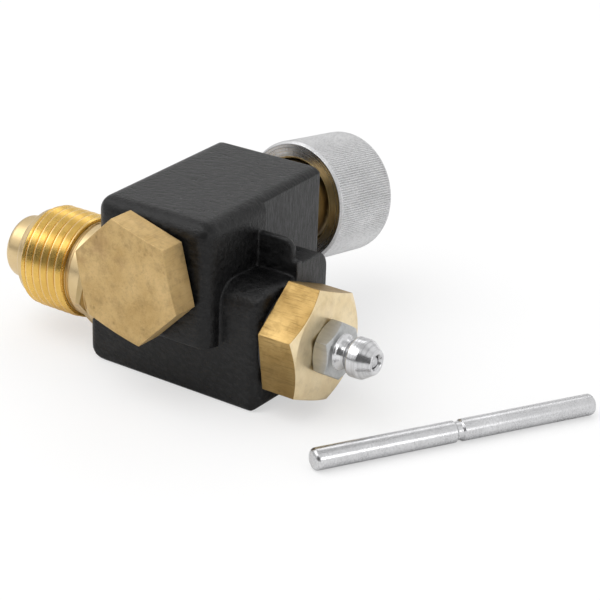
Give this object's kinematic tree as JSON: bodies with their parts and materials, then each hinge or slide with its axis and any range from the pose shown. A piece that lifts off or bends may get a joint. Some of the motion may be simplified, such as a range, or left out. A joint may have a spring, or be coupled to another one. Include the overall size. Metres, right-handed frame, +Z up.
{
  "type": "flow control valve",
  "caption": "Black cast flow control valve with a brass flare fitting, brass hex plugs, a grease nipple, a knurled swivel nut, a sprung spool inside and a loose grooved pin.",
  "frame": {"origin": "on the underside of the body, below the point where the valve bore and the port bore cross in plan", "axes": "+X to the grease nipple, +Y to the swivel nut, +Z up"},
  "size_m": [0.098, 0.0625, 0.0316],
  "materials": {
    "black_coating": "satin black coating over a fine cast texture",
    "polished_brass": "polished",
    "aged_brass": "dull, handled",
    "zinc_steel": "bright zinc plate",
    "knurled_steel": "fine straight knurl, satin",
    "pin_steel": "ground",
    "inner_steel": "turned",
    "seal_rubber": "matt"
  },
  "bodies": {
    "valve": {"valve_body": "black_coating", "flare_fitting": "polished_brass", "flare_washer": "seal_rubber", "front_plug": "aged_brass", "front_plug_washer": "seal_rubber", "side_plug": "aged_brass", "side_plug_washer": "seal_rubber", "grease_nipple": "zinc_steel", "nipple_spring": "inner_steel", "tail_piece": "aged_brass", "tail_washer": "seal_rubber", "tail_gasket": "seal_rubber", "control_sleeve": "inner_steel", "stop_ring": "inner_steel", "control_spring": "inner_steel", "spring_seat": "aged_brass"},
    "swivel_nut": {"swivel_nut": "knurled_steel"},
    "control_spool": {"control_spool": "inner_steel", "orifice_disc": "aged_brass"},
    "nipple_ball": {"nipple_ball": "zinc_steel"},
    "grooved_pin": {"grooved_pin": "pin_steel"}
  },
  "joints": [
    {"name": "nut_turn", "type": "hinge", "parent": "valve", "child": "swivel_nut", "pos_m": [0, 0.0286, 0.0201], "axis": [0.0779, 0.9897, -0.1201], "continuous": true},
    {"name": "spool_travel", "type": "slide", "parent": "valve", "child": "control_spool", "axis": [0, -1, 0], "range_m": [0, 0.0025], "stiffness_N_per_m": 1600, "springref_m": -0.001, "deforming": ["control_spring"]},
    {"name": "ball_push", "type": "slide", "parent": "valve", "child": "nipple_ball", "axis": [-1, 0, 0], "range_m": [0, 0.001], "stiffness_N_per_m": 700, "springref_m": -0.0005, "deforming": ["nipple_spring"]},
    {"name": "pin_lift", "type": "slide", "parent": "valve", "child": "grooved_pin", "axis": [0, 0, 1], "range_m": [0, 0.03]}
  ]
}
